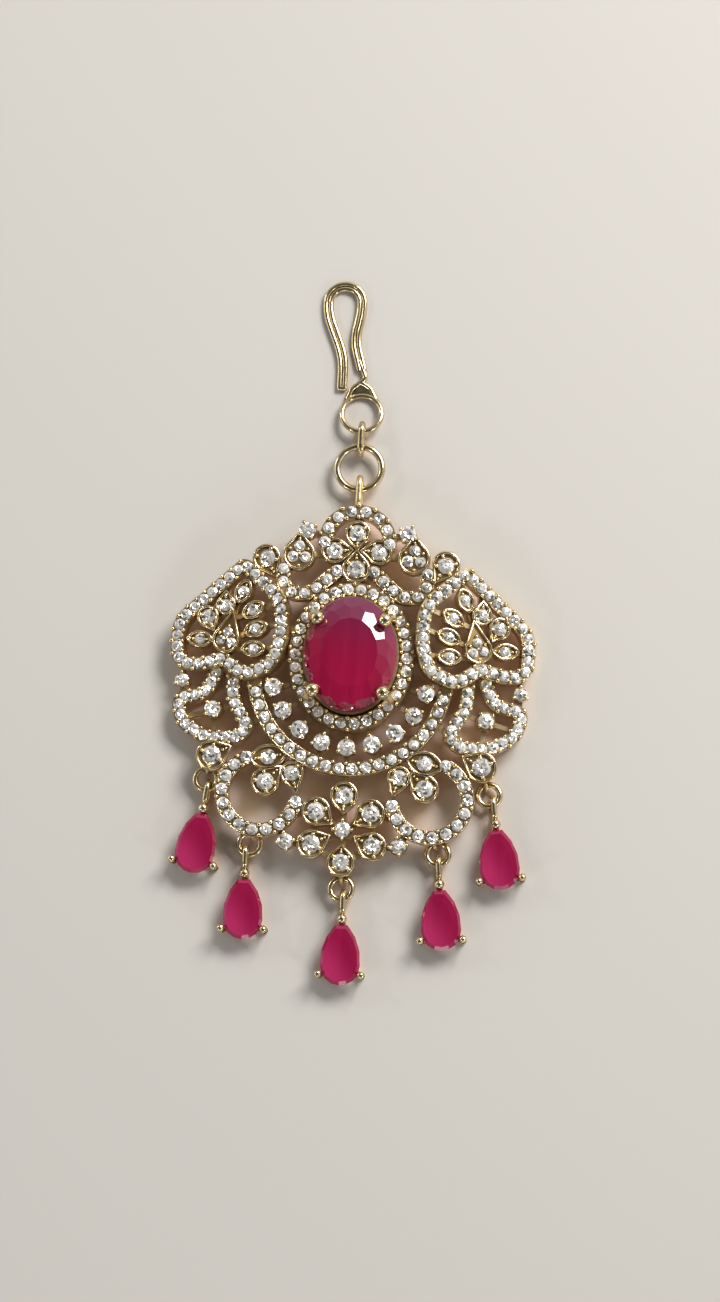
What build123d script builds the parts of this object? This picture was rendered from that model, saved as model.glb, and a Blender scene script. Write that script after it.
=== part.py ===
"""Maang tikka: a domed gold frame paved with clear stones, an oval centre stone, a hair hook on
two rings, and five pear drops. It lies face up: +Z is up, +Y points to the hook, z = 0 is the
surface it rests on, and the origin is the bottom centre of its box. Millimetres."""
import os
from math import acos, atan2, cos, degrees, dist, radians, sin

from build123d import *

# ---------------------------------------------------------------- driving dimensions
OVAL_X, OVAL_Y = -0.022, -3.473    # centre of the oval setting, from the part's origin
PAVE_WIDTH = 1.45                  # every paved strip
WALL = 0.28                        # wall of a petal collet, outside its stone opening
TIP_GROWTH = 1.4                   # a marquise collet's wall at its tips, over the wall at its sides
CUP_DEPTH = 0.45                   # depth of a collet's opening
BAR_WIDTH, THIN_BAR = 0.7, 0.5     # the plain bars that join the motifs, and those inside a leaf
EYELET_WIRE = 0.4                  # soldered eyelets under the lower edge
EYELET_RADIUS = 0.62

# height of each layer's upper face, its thickness, and how it falls away outwards
HALO_TOP, HALO_THICK = 3.6, 2.0
ROW_TOP, ROW_FOOT = 3.3, 1.6
CRESCENT_TOP, CRESCENT_THICK = 3.1, 1.6
CROWN_TOP, CROWN_THICK = 3.4, 1.6
LACE_TOP, LACE_THICK = 2.8, 1.4    # scroll rings and flower below the crescent
WING_TOP, WING_THICK, WING_FALL, WING_HINGE = 4.6, 1.5, 12, 7.5
LEAF_TOP, LEAF_THICK, LEAF_FALL, LEAF_HINGE = 2.6, 1.3, 6, 10.5
BAR_DROP, LEAF_BAR_DROP = 0.6, 0.75  # the bars' upper faces lie this far under their layer's
SIDE_BAR_FOOT, SIDE_BAR_TOP = 1.7, 2.4   # the bars under the wings lie deep, in the shade
SIDE_POST_TOP = 3.5                # and end in posts that reach up into the wings

# oval stone and its basket
STONE_X, STONE_Y, STONE_SHIFT = 4.95, 6.15, -0.2     # half sizes, and centre below the oval's
GIRDLE_Z, GIRDLE_THICK = 4.9, 0.15
CROWN_HEIGHT, TABLE_SCALE = 1.3, 0.66
PAVILION_DEPTH, KEEL_SCALE = 2.6, 0.3
BASKET_FOOT, BASKET_TOP, BASKET_WALL, BASKET_PROUD = 1.0, 4.45, 0.45, 0.2
LEDGE_IN, LEDGE_THICK = 0.6, 0.6   # the ledge that joins basket and halo, in from the halo's line
HALO_X, HALO_Y, HALO_SHIFT = 5.95, 7.25, -0.25
CLAW_RADIUS, CLAW_BALL = 0.36, 0.74
CLAW_STAND, CLAW_LIFT = 0.98, 1.41   # how far the claw stands out, and its ball's height over the girdle
CLAW_LENGTH, CLAW_BEND = 3.45, 0.5    # from the ball down into the halo, and the bend's radius
CLAW_SPOTS = [(3.6, 3.3), (3.7, -4.4)]             # x, y of the claw balls on the right half

# rings and arcs: centre x, centre y, radius, first and last angle
CRESCENT = (0, -1.95, 10.3, -6, -174)
ARCH = (0, 12.1, 3.5, 0, 180)
SCROLL_RING = (9.05, -15.15, 4.0, 67, -168)
ROW_CENTRE_Y, ROW_RADIUS, ROW_STEP, ROW_SEAT = -1.5, 8.48, 18.5, 0.95
ROW_BAR, ROW_BAR_TOP = 1.5, 2.2    # half length of the bar under each seat of the row, and its height

# routes of the paved strips on the right half: corner x, corner y, radius of the bend there
WING_EDGE = [
    (12.05, 9.25, 0.5), (19.15, 3.0, 3.0), (19.1, -1.6, 1.6), (16.3, -1.6, 2.0), (13.9, -1.0, 0.6),
    (11.4, -2.75, 1.8), (8.35, -1.5, 2.0), (7.6, 1.3, 3.0), (7.6, 5.3, 4.0),
]
LEAF_EDGE = [
    (14.5, -2.4, 0), (15.5, -4.6, 1.8), (18.55, -5.3, 0.8), (17.9, -7.9, 2.4), (15.05, -9.45, 2.6),
    (11.95, -9.3, 1.2), (10.7, -8.2, 0.8), (12.5, -5.2, 3.0), (12.6, -2.2, 0),
]
SCROLL_ARM = [(2.0, 9.0, 0), (4.8, 6.45, 1.8), (7.7, 6.35, 1.5), (7.75, 9.0, 0)]

# petals: centre x, centre y, radius of the stone opening's round end, tip x, tip y
CROWN_PEARS = [(2.4, 11.2, 1.1, 0.7, 11.3), (6.2, 10.65, 1.42, 6.2, 12.8), (9.65, 10.1, 1.2, 8.65, 8.35)]
CROWN_MID_PEARS = [(0, 13.2, 1.08, 0, 11.6), (0, 9.25, 1.22, 0, 11.05)]
WING_PEARS = [(13.65, 1.1, 1.22, 13.1, 3.8), (13.9, 4.85, 0.8, 13.95, 6.1), (15.85, 3.55, 0.9, 15.2, 2.3)]
LACE_PEARS = [
    (5.7, -12.9, 0.98, 5.2, -14.7), (8.5, -13.95, 1.2, 7.1, -12.45), (14.4, -11.4, 1.35, 12.6, -10.45),
    (2.9, -16.85, 1.25, 1.35, -17.95), (3.25, -20.35, 1.22, 1.55, -19.5),
]
LACE_MID_PEARS = [(0, -15.05, 1.2, 0, -16.75), (0, -22.2, 1.18, 0, -20.6)]
# marquise petals: first tip x, y, second tip x, y, width
WING_MARQUISES = [
    (11.57, 7.28, 12.47, 5.36, 1.25), (15.42, 1.05, 17.8, 1.15, 1.25), (9.91, 4.88, 11.69, 3.72, 1.25),
    (9.4, 2.61, 11.4, 1.89, 1.25), (9.5, 0.15, 11.6, 0.05, 1.25),
]
LACE_MARQUISES = [(6.7, -10.95, 10.0, -11.6, 2.1)]
# round seats: centre x, centre y, radius
CROWN_SEATS = [(5.4, 13.3, 0.9)]
LEAF_SEATS = [(14.65, -6.35, 1.0), (18.2, -3.3, 0.75)]
LACE_SEATS = [(6.0, -20.2, 0.95)]
FLOWER_SEAT = (0, -18.7, 0.9)
# plain bars: first end x, y, second end x, y
CROWN_BARS = [
    (3.6, 10.9, 4.9, 10.8), (3.6, 12.9, 5.4, 13.3), (3.8, 5.5, 4.3, 6.9),
    (0, 14.0, 0, 15.3), (0, 7.0, 0, 8.6), (2.2, 11.2, 0, 11.3), (0, 10.4, 0, 12.2),
]
WING_BARS = [
    (7.8, 5.4, 12.9, 3.5), (7.8, 3.1, 12.9, 1.4), (7.8, 0.25, 12.9, 0.1), (11.6, 8.3, 13.1, 3.6),
    (13.8, 7.2, 13.9, 2.0), (15.85, 3.55, 14.2, 1.6), (14.5, 1.1, 18.8, 1.1),
]
SIDE_BARS = [(HALO_X, 2.6, 7.7, 2.6), (HALO_X, -0.2, 8.0, -0.2)]   # each ends in a post
LEAF_BARS = [
    (14.65, -6.35, 14.4, -9.2), (14.65, -6.35, 17.8, -7.2), (14.65, -6.35, 12.3, -5.7),
    (18.2, -1.9, 18.3, -5.2),
]
CRESCENT_BARS = [(9.6, -7.0, 11.2, -8.2)]
LACE_BARS = [
    (6.0, -10.1, 7.3, -11.3), (5.1, -10.8, 5.7, -12.3), (0, -12.5, 0, -14.0), (0, -16.5, 0, -21.2),
    (0, -18.75, 1.9, -17.6), (0, -18.75, 2.0, -19.9), (3.0, -18.0, 3.1, -19.4), (0.8, -21.8, 2.4, -20.9),
    (3.9, -16.9, 5.4, -17.3), (4.3, -20.4, 6.0, -20.2), (6.0, -20.2, 6.8, -18.7), (12.2, -12.6, 13.6, -11.9),
    (13.1, -10.9, 13.1, -9.4), (7.5, -12.9, 7.2, -11.9),
]

# chain above: link wire, and the rings that lie flat
WIRE = 0.74
BAIL_X, BAIL_Y = -0.2, (15.95, 20.0)      # the soldered bail, and its outer ends
BIG_RING_X, BIG_RING_Y, BIG_RING_RADIUS = -0.34, 20.81, 2.43
LINK_X, LINK_Y = -0.3, (22.03, 26.05)     # the link, and its outer ends
HOOK_RING_X, HOOK_RING_Y, HOOK_RING_RADIUS = -0.47, 27.0, 2.16
LOOP_GAP = 0.92                    # inner height of an upright loop
BAIL_Z, LINK_Z = 1.35, 1.22        # height of the loops' centre lines
HOOK_WIRE, HOOK_SPREAD = 0.6, 0.28  # wire of the doubled hook, half the spacing of the two wires
HOOK_ROUTE = [
    (-2.82, 29.9, 0), (-2.82, 33.35, 8.0), (-4.8, 38.2, 6.5), (-4.8, 41.4, 1.8), (-1.1, 41.4, 1.8),
    (-1.1, 38.3, 10.0), (-1.7, 35.45, 6.0), (-0.75, 32.0, 0),
]
NECK_ROUTE = [(-1.1, 33.05, 0), (-0.25, 31.1, 0.45), (-1.75, 29.8, 1.0), (-2.15, 28.65, 0)]
WEB_ROUTE = [(-0.7, 30.6, 0), (0.3, 29.95, 0.5), (1.15, 28.4, 0)]   # the ring's other side, up to the neck

# drops: ring centre x, y, where the drop hangs on the ring (degrees from straight down), lean
DROPS = [
    (-15.0, -13.8, 12, -7.3),
    (-9.9, -20.5, -17, 1.0),
    (0.1, -24.8, 14, 0.5),
    (10.15, -20.65, 8, 5.1),
    (15.3, -14.15, 28, 8.0),
]
# where each ring's eyelet stands on the frame's lower edge: x, y
EYELETS = [(-14.8, -12.65), (-9.5, -19.4), (0.05, -23.65), (9.65, -19.6), (14.87, -13.06)]
RING_WIRE, RING_RADIUS = 0.64, 1.17
EYELET_Z, HANG_Z = 0.84, 1.06      # height of a jump ring at its eyelet and at its drop
DROP_WIRE, DROP_LOOP = 0.6, 3.05   # bail wire and its outer length
DROP_LOOP_RISE = 1.15              # the bail starts this far above the ring's wire
# drop stone: where its blunt top, the bulge of its flanks and its round end lie down the drop, with
# their half widths; the middle that its levels are scaled about
DROP_TOP, DROP_FLANK, DROP_HEAD, DROP_MIDDLE = (2.72, 0.62), (4.5, 1.74), (6.98, 2.12), 6.2
DROP_GIRDLE, DROP_GIRDLE_THICK = 1.75, 0.15
DROP_CROWN, DROP_PAVILION = 0.55, 1.15
DROP_TABLE_SCALE, DROP_KEEL_SCALE = 0.7, 0.4
DROP_BALL, DROP_TIP_BALL, DROP_PRONG = 0.42, 0.55, 0.28
PRONG_TURN, PRONG_OUT = 66, 0.37   # a side prong's place on the round end, and its distance from the stone
PRONG_RISE = 0.4                   # a side prong's end over the girdle's lower edge
ARM_START = 0.9                    # the arms under the stone start this far inside its edge
POST_INSET, POST_SPARE = 0.2, 0.05   # the tip post's place in the bail's end, and its spare thickness
TIP_ARM = 3.0                      # length of the arm under the stone, from the tip post
RIM_OUTER, RIM_INNER, RIM_THICK = 0.8, 0.6, 0.45   # the rim under the stone: scales of the outline

BASE = Plane(origin=(OVAL_X, OVAL_Y, 0))
MIRROR = Plane.YZ.offset(OVAL_X)


# ---------------------------------------------------------------- shapes used again and again
def falling_plane(top, hinge, fall):
    """A plane that passes through height top at x = hinge and falls away outwards by fall degrees."""
    across = Vector(cos(radians(fall)), 0, -sin(radians(fall)))
    hinge_point = BASE.origin + Vector(hinge, 0, top)
    return Plane(
        origin=hinge_point - across * hinge,
        x_dir=across,
        z_dir=(sin(radians(fall)), 0, cos(radians(fall))),
    )


def along(route, plane=Plane.XY, closed=False):
    """Straight runs joined by arcs, through a route's corners."""
    radii = [bend for *_, bend in route]
    with BuildLine(plane) as line:
        FilletPolyline(*[(x, y) for x, y, _ in route], radius=radii if closed else radii[1:-1], close=closed)
    return line.line


def open_strip(route):
    """A paved strip with rounded ends along a route."""
    with BuildSketch() as outline:
        with BuildLine():
            add(along(route))
            offset(amount=PAVE_WIDTH / 2)
        make_face()
    return outline.sketch_local


def closed_strip(route):
    """A paved strip that closes on itself."""
    with BuildSketch() as outline:
        with BuildLine():
            add(along(route, closed=True))
            offset(amount=PAVE_WIDTH / 2)
        make_face()
        with BuildLine():
            add(along(route, closed=True))
            offset(amount=-PAVE_WIDTH / 2)
        make_face(mode=Mode.SUBTRACT)
    return outline.sketch_local


def arc_strip(x, y, radius, first, last):
    """A paved strip along an arc, with rounded ends."""
    with BuildSketch() as outline:
        SlotArc(CenterArc((x, y), radius, first, last - first), PAVE_WIDTH)
    return outline.sketch_local


def pear(x, y, radius, tip_x, tip_y, grow=0.0):
    """A pear outline: a round end and two straight flanks that meet at the tip."""
    reach = dist((x, y), (tip_x, tip_y))
    flank = acos(radius / reach)
    lean = atan2(tip_y - y, tip_x - x)
    head = radius + grow
    length = reach * head / radius
    tip = (x + length * cos(lean), y + length * sin(lean))
    shoulders = [(x + head * cos(lean + turn), y + head * sin(lean + turn)) for turn in (flank, -flank)]
    back = (x - head * cos(lean), y - head * sin(lean))
    with BuildSketch() as outline:
        with BuildLine():
            Line(tip, shoulders[0])
            ThreePointArc(shoulders[0], back, shoulders[1])
            Line(shoulders[1], tip)
        make_face()
    return outline.sketch_local


def drop_outline(scale):
    """The drop stone's outline, scaled about its middle: a blunt top, bulging flanks, a round end."""
    top, flank, head = [
        (DROP_MIDDLE + (x - DROP_MIDDLE) * scale, y * scale) for x, y in (DROP_TOP, DROP_FLANK, DROP_HEAD)
    ]
    end = (head[0] + head[1], 0)
    with BuildSketch() as outline:
        with BuildLine():
            Line((top[0], -top[1]), top)
            ThreePointArc(top, flank, head)
            ThreePointArc(head, end, (head[0], -head[1]))
            ThreePointArc((head[0], -head[1]), (flank[0], -flank[1]), (top[0], -top[1]))
        make_face()
    return outline.sketch_local


def marquise(x1, y1, x2, y2, width, grow=0.0):
    """A marquise outline: two arcs from tip to tip."""
    middle = Vector((x1 + x2) / 2, (y1 + y2) / 2)
    lengthwise = Vector(x2 - x1, y2 - y1).normalized()
    across = Vector(-lengthwise.Y, lengthwise.X)
    half_length = lengthwise * (dist((x1, y1), (x2, y2)) / 2 + TIP_GROWTH * grow)
    half_width = across * (width / 2 + grow)
    with BuildSketch() as outline:
        with BuildLine():
            ThreePointArc(middle - half_length, middle + half_width, middle + half_length)
            ThreePointArc(middle + half_length, middle - half_width, middle - half_length)
        make_face()
    return outline.sketch_local


def seat(x, y, radius):
    """A round seat."""
    with BuildSketch() as outline:
        with Locations((x, y)):
            Circle(radius)
    return outline.sketch_local


def bars(rows, width=BAR_WIDTH):
    """Plain bars with round ends."""
    with BuildSketch() as outline:
        for x1, y1, x2, y2 in rows:
            with Locations(((x1 + x2) / 2, (y1 + y2) / 2)):
                slope = degrees(atan2(y2 - y1, x2 - x1))
                SlotCenterToCenter(dist((x1, y1), (x2, y2)), width, rotation=slope)
    return outline.sketch_local


def petals(pears, marquises=(), grow=0.0):
    """The outlines of a layer's petals, grown by the collet's wall or not."""
    with BuildSketch() as outline:
        for place in pears:
            add(pear(*place, grow=grow))
        for place in marquises:
            add(marquise(*place, grow=grow))
    return outline.sketch_local


def ellipse_ring(half_x, half_y, shift, width):
    """An elliptical strip whose middle line has the given half sizes."""
    with BuildSketch() as outline:
        with Locations((0, shift)):
            Ellipse(half_x + width / 2, half_y + width / 2)
            Ellipse(half_x - width / 2, half_y - width / 2, mode=Mode.SUBTRACT)
    return outline.sketch_local


def upright_loop(plane, length, wire):
    """A long loop of wire: plane's x runs along the loop, its y is up, its origin is its centre."""
    bend = (LOOP_GAP + wire) / 2
    straight = length / 2 - wire / 2 - bend
    with BuildPart() as loop:
        with BuildLine(plane) as route:
            top = Line((-straight, bend), (straight, bend))
            ThreePointArc((straight, bend), (straight + bend, 0), (straight, -bend))
            Line((straight, -bend), (-straight, -bend))
            ThreePointArc((-straight, -bend), (-straight - bend, 0), (-straight, bend))
        with BuildSketch(Plane(origin=top @ 0, z_dir=top % 0)):
            Circle(wire / 2)
        sweep(path=route.wire())
    return loop.part


def lengthwise_loop(x, ends, height):
    """A loop of chain wire that stands on edge along the jewel's length."""
    centre = BASE.origin + Vector(x, sum(ends) / 2, height)
    return upright_loop(Plane(origin=centre, x_dir=(0, 1, 0), z_dir=(1, 0, 0)), ends[1] - ends[0], WIRE)


# ---------------------------------------------------------------- layers of the soldered frame
with BuildPart() as halo:
    with BuildSketch(BASE.offset(HALO_TOP)):
        add(ellipse_ring(HALO_X, HALO_Y, HALO_SHIFT, PAVE_WIDTH))
    extrude(amount=-HALO_THICK)
    with BuildSketch(BASE.offset(BASKET_FOOT)):
        basket_line = BASKET_PROUD - BASKET_WALL / 2
        add(ellipse_ring(STONE_X + basket_line, STONE_Y + basket_line, STONE_SHIFT, BASKET_WALL))
    extrude(amount=BASKET_TOP - BASKET_FOOT)
    with BuildSketch(BASE.offset(HALO_TOP - HALO_THICK)):
        add(ellipse_ring(HALO_X - LEDGE_IN, HALO_Y - LEDGE_IN, HALO_SHIFT, PAVE_WIDTH))
    extrude(amount=LEDGE_THICK)

with BuildPart() as claws:
    for x, y in CLAW_SPOTS:
        for side in (1, -1):
            outward = Vector(side * x / STONE_X**2, (y - STONE_SHIFT) / STONE_Y**2).normalized()
            ball = BASE.origin + Vector(side * x, y, GIRDLE_Z + GIRDLE_THICK + CLAW_LIFT)
            claw_plane = Plane(origin=ball, x_dir=outward, z_dir=outward.cross(Vector(0, 0, 1)))
            with BuildLine(claw_plane) as claw:
                bend_point = (CLAW_STAND, -CLAW_LIFT)
                FilletPolyline((0, 0), bend_point, (CLAW_STAND, -CLAW_LENGTH), radius=CLAW_BEND)
            with BuildSketch(Plane(origin=claw.line @ 0, z_dir=claw.line % 0)):
                Circle(CLAW_RADIUS)
            sweep(path=claw.line)
            with Locations(ball):
                Sphere(CLAW_BALL)

with BuildPart() as crescent:
    with BuildSketch(BASE.offset(CRESCENT_TOP)):
        add(arc_strip(*CRESCENT))
    extrude(amount=-CRESCENT_THICK)

with BuildPart() as row:
    for step in range(-4, 5):
        lean = radians(-90 + step * ROW_STEP)
        x, y = ROW_RADIUS * cos(lean), ROW_CENTRE_Y + ROW_RADIUS * sin(lean)
        reach_x, reach_y = ROW_BAR * cos(lean), ROW_BAR * sin(lean)
        with BuildSketch(BASE.offset(ROW_TOP)):
            add(seat(x, y, ROW_SEAT))
        extrude(amount=ROW_FOOT - ROW_TOP)
        with BuildSketch(BASE.offset(ROW_FOOT)):
            add(bars([(x - reach_x, y - reach_y, x + reach_x, y + reach_y)], THIN_BAR))
        extrude(amount=ROW_BAR_TOP - ROW_FOOT)

with BuildPart() as crown:
    with BuildSketch(BASE.offset(CROWN_TOP)):
        add(open_strip(SCROLL_ARM))
        add(petals(CROWN_PEARS, grow=WALL))
        for place in CROWN_SEATS:
            add(seat(*place))
    extrude(amount=-CROWN_THICK)
    with BuildSketch(BASE.offset(CROWN_TOP - BAR_DROP)):
        add(bars(CROWN_BARS))
    extrude(amount=BAR_DROP - CROWN_THICK)
    with BuildSketch(BASE.offset(CROWN_TOP)):
        add(petals(CROWN_PEARS))
    extrude(amount=-CUP_DEPTH, mode=Mode.SUBTRACT)
    mirror(about=MIRROR)

with BuildPart() as crown_middle:
    with BuildSketch(BASE.offset(CROWN_TOP)):
        add(arc_strip(*ARCH))
        add(petals(CROWN_MID_PEARS, grow=WALL))
    extrude(amount=-CROWN_THICK)
    with BuildSketch(BASE.offset(CROWN_TOP)):
        add(petals(CROWN_MID_PEARS))
    extrude(amount=-CUP_DEPTH, mode=Mode.SUBTRACT)

with BuildPart() as wing:
    wing_plane = falling_plane(WING_TOP, WING_HINGE, WING_FALL)
    with BuildSketch(wing_plane):
        add(closed_strip(WING_EDGE))
        add(petals(WING_PEARS, WING_MARQUISES, grow=WALL))
    extrude(amount=-WING_THICK)
    with BuildSketch(wing_plane.offset(-BAR_DROP)):
        add(bars(WING_BARS, THIN_BAR))
    extrude(amount=BAR_DROP - WING_THICK)
    with BuildSketch(wing_plane):
        add(petals(WING_PEARS, WING_MARQUISES))
    extrude(amount=-CUP_DEPTH, mode=Mode.SUBTRACT)
    with BuildSketch(BASE.offset(SIDE_BAR_FOOT)):
        add(bars(SIDE_BARS))
    extrude(amount=SIDE_BAR_TOP - SIDE_BAR_FOOT)
    with BuildSketch(BASE.offset(SIDE_BAR_FOOT)):
        for *_, x, y in SIDE_BARS:
            add(seat(x, y, BAR_WIDTH / 2))
    extrude(amount=SIDE_POST_TOP - SIDE_BAR_FOOT)
    mirror(about=MIRROR)

with BuildPart() as leaf:
    leaf_plane = falling_plane(LEAF_TOP, LEAF_HINGE, LEAF_FALL)
    with BuildSketch(leaf_plane):
        add(open_strip(LEAF_EDGE))
        for place in LEAF_SEATS:
            add(seat(*place))
    extrude(amount=-LEAF_THICK)
    with BuildSketch(leaf_plane.offset(-LEAF_BAR_DROP)):
        add(bars(LEAF_BARS, THIN_BAR))
        add(bars(CRESCENT_BARS))
    extrude(amount=LEAF_BAR_DROP - LEAF_THICK)
    mirror(about=MIRROR)

with BuildPart() as lace:
    with BuildSketch(BASE.offset(LACE_TOP)):
        add(arc_strip(*SCROLL_RING))
        add(petals(LACE_PEARS, LACE_MARQUISES, grow=WALL))
        for place in LACE_SEATS:
            add(seat(*place))
    extrude(amount=-LACE_THICK)
    with BuildSketch(BASE.offset(LACE_TOP - BAR_DROP)):
        add(bars(LACE_BARS))
    extrude(amount=BAR_DROP - LACE_THICK)
    with BuildSketch(BASE.offset(LACE_TOP)):
        add(petals(LACE_PEARS, LACE_MARQUISES))
    extrude(amount=-CUP_DEPTH, mode=Mode.SUBTRACT)
    mirror(about=MIRROR)

with BuildPart() as lace_middle:
    with BuildSketch(BASE.offset(LACE_TOP)):
        add(seat(*FLOWER_SEAT))
        add(petals(LACE_MID_PEARS, grow=WALL))
    extrude(amount=-LACE_THICK)
    with BuildSketch(BASE.offset(LACE_TOP)):
        add(petals(LACE_MID_PEARS))
    extrude(amount=-CUP_DEPTH, mode=Mode.SUBTRACT)

# eyelets stand across the jump rings, under the frame's lower edge
with BuildPart() as eyelets:
    for (x, y), drop in zip(EYELETS, DROPS):
        towards = Vector(drop[0] - x, drop[1] - y).normalized()
        centre = BASE.origin + Vector(x, y, EYELET_Z)
        with Locations(Plane(origin=centre, x_dir=towards, z_dir=towards.cross(Vector(0, 0, 1)))):
            Torus(EYELET_RADIUS, EYELET_WIRE / 2)

with BuildPart() as top_bail:
    add(lengthwise_loop(BAIL_X, BAIL_Y, BAIL_Z))

with BuildPart() as pendant_frame:
    add(halo.part)
    for layer in (claws, crescent, row, crown, crown_middle, wing, leaf, lace, lace_middle):
        add(layer.part)
    add(eyelets.part)
    add(top_bail.part)
pendant_frame.part.label = "pendant_frame"

# ---------------------------------------------------------------- oval stone
with BuildPart() as oval_stone:
    for height, scale, next_height, next_scale in (
        (GIRDLE_Z - PAVILION_DEPTH, KEEL_SCALE, GIRDLE_Z, 1),
        (GIRDLE_Z, 1, GIRDLE_Z + GIRDLE_THICK, 1),
        (GIRDLE_Z + GIRDLE_THICK, 1, GIRDLE_Z + GIRDLE_THICK + CROWN_HEIGHT, TABLE_SCALE),
    ):
        for level, size in ((height, scale), (next_height, next_scale)):
            with BuildSketch(BASE.offset(level)):
                with Locations((0, STONE_SHIFT)):
                    Ellipse(STONE_X * size, STONE_Y * size)
        loft()
oval_stone.part.label = "oval_stone"

# ---------------------------------------------------------------- rings, link and hook
with BuildPart() as big_ring:
    ring_tilt = degrees(atan2(BAIL_Z - LINK_Z, 2 * BIG_RING_RADIUS))
    ring_middle = BASE.origin + Vector(BIG_RING_X, BIG_RING_Y, (BAIL_Z + LINK_Z) / 2)
    with Locations(Location(ring_middle, (-ring_tilt, 0, 0))):
        Torus(BIG_RING_RADIUS, WIRE / 2)
big_ring.part.label = "big_ring"

with BuildPart() as link_ring:
    add(lengthwise_loop(LINK_X, LINK_Y, LINK_Z))
link_ring.part.label = "link_ring"

with BuildPart() as hook:
    hook_plane = BASE.offset(HOOK_WIRE / 2)
    hook_line = along(HOOK_ROUTE, hook_plane)
    with BuildSketch(Plane(origin=hook_line @ 0, x_dir=(1, 0, 0), z_dir=hook_line % 0)):
        with GridLocations(2 * HOOK_SPREAD, 0, 2, 1):
            Circle(HOOK_WIRE / 2)
    sweep(path=hook_line)
    with Locations(hook_line @ 0):
        with GridLocations(2 * HOOK_SPREAD, 0, 2, 1):
            Sphere(HOOK_WIRE / 2)
        Cylinder(HOOK_WIRE / 2, 2 * HOOK_SPREAD, rotation=(0, 90, 0))
    for route in (NECK_ROUTE, WEB_ROUTE):
        neck_line = along(route, hook_plane)
        with BuildSketch(Plane(origin=neck_line @ 0, z_dir=neck_line % 0)):
            Circle(HOOK_WIRE / 2)
        sweep(path=neck_line)
    hook_tilt = degrees(atan2(LINK_Z - HOOK_WIRE / 2, 2 * HOOK_RING_RADIUS))
    ring_height = (LINK_Z + HOOK_WIRE / 2) / 2
    ring_middle = BASE.origin + Vector(HOOK_RING_X, HOOK_RING_Y, ring_height)
    with Locations(Location(ring_middle, (-hook_tilt, 0, 0))):
        Torus(HOOK_RING_RADIUS, HOOK_WIRE / 2)
hook.part.label = "hook"

# ---------------------------------------------------------------- jump rings and drops
for number, (place, eyelet) in enumerate(zip(DROPS, EYELETS), start=1):
    ring_x, ring_y, hang, lean = place
    ring_centre = BASE.origin + Vector(ring_x, ring_y, (EYELET_Z + HANG_Z) / 2)
    hang_dir = Vector(sin(radians(hang)), -cos(radians(hang)), 0)
    with BuildPart() as jump_ring:
        fall = (HANG_Z - EYELET_Z) / (2 * RING_RADIUS)
        normal = Vector(-fall * hang_dir.X, -fall * hang_dir.Y, 1)
        with Locations(Plane(origin=ring_centre, z_dir=normal)):
            Torus(RING_RADIUS, RING_WIRE / 2)
    jump_ring.part.label = f"jump_ring_{number}"

    # the drop's own plane: x runs down the drop from the ring's wire, y across it, z up
    down = Vector(sin(radians(lean)), -cos(radians(lean)), 0)
    hang_point = BASE.origin + Vector(ring_x, ring_y) + hang_dir * RING_RADIUS
    drop_plane = Plane(origin=hang_point, x_dir=down, z_dir=(0, 0, 1))
    head_x, head_radius = DROP_HEAD
    girdle_top = DROP_GIRDLE + DROP_GIRDLE_THICK
    with BuildPart() as drop_stone:
        for height, scale, next_height, next_scale in (
            (DROP_GIRDLE - DROP_PAVILION, DROP_KEEL_SCALE, DROP_GIRDLE, 1),
            (DROP_GIRDLE, 1, girdle_top, 1),
            (girdle_top, 1, girdle_top + DROP_CROWN, DROP_TABLE_SCALE),
        ):
            for level, size in ((height, scale), (next_height, next_scale)):
                with BuildSketch(drop_plane.offset(level)):
                    add(drop_outline(size))
            loft()
    drop_stone.part.label = f"drop_stone_{number}"

    with BuildPart() as drop_setting:
        with BuildSketch(drop_plane):
            add(drop_outline(RIM_OUTER))
            add(drop_outline(RIM_INNER), mode=Mode.SUBTRACT)
        extrude(amount=RIM_THICK)
        for side in (1, -1):
            turn = radians(side * PRONG_TURN)
            foot, top = [
                (head_x + (head_radius + out) * cos(turn), (head_radius + out) * sin(turn))
                for out in (-ARM_START, PRONG_OUT)
            ]
            with BuildSketch(drop_plane):
                add(bars([(*foot, *top)]))
            extrude(amount=RIM_THICK)
            prong_length = DROP_GIRDLE + PRONG_RISE
            with Locations(drop_plane * Location((*top, prong_length / 2))):
                Cylinder(DROP_PRONG, prong_length)
            with Locations(drop_plane * Location((*top, girdle_top + DROP_BALL))):
                Sphere(DROP_BALL)
        post_x = DROP_LOOP - DROP_LOOP_RISE + POST_INSET
        with BuildSketch(drop_plane):
            add(bars([(post_x, 0, post_x + TIP_ARM, 0)]))
        extrude(amount=RIM_THICK)
        with Locations(drop_plane * Location((post_x, 0, DROP_GIRDLE / 2))):
            Cylinder(DROP_PRONG + POST_SPARE, DROP_GIRDLE)
        with Locations(drop_plane * Location((post_x, 0, DROP_GIRDLE + POST_SPARE))):
            Sphere(DROP_TIP_BALL)
        loop_centre = drop_plane.from_local_coords((DROP_LOOP / 2 - DROP_LOOP_RISE, 0, HANG_Z))
        loop_plane = Plane(origin=loop_centre, x_dir=down, z_dir=down.cross(Vector(0, 0, 1)))
        add(upright_loop(loop_plane, DROP_LOOP, DROP_WIRE))
    drop_setting.part.label = f"drop_setting_{number}"

    os.makedirs("parts", exist_ok=True)
    for piece in (jump_ring, drop_stone, drop_setting):
        export_step(piece.part, f"parts/{piece.part.label}.step")

for piece in (pendant_frame, oval_stone, big_ring, link_ring, hook):
    export_step(piece.part, f"parts/{piece.part.label}.step")
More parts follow.
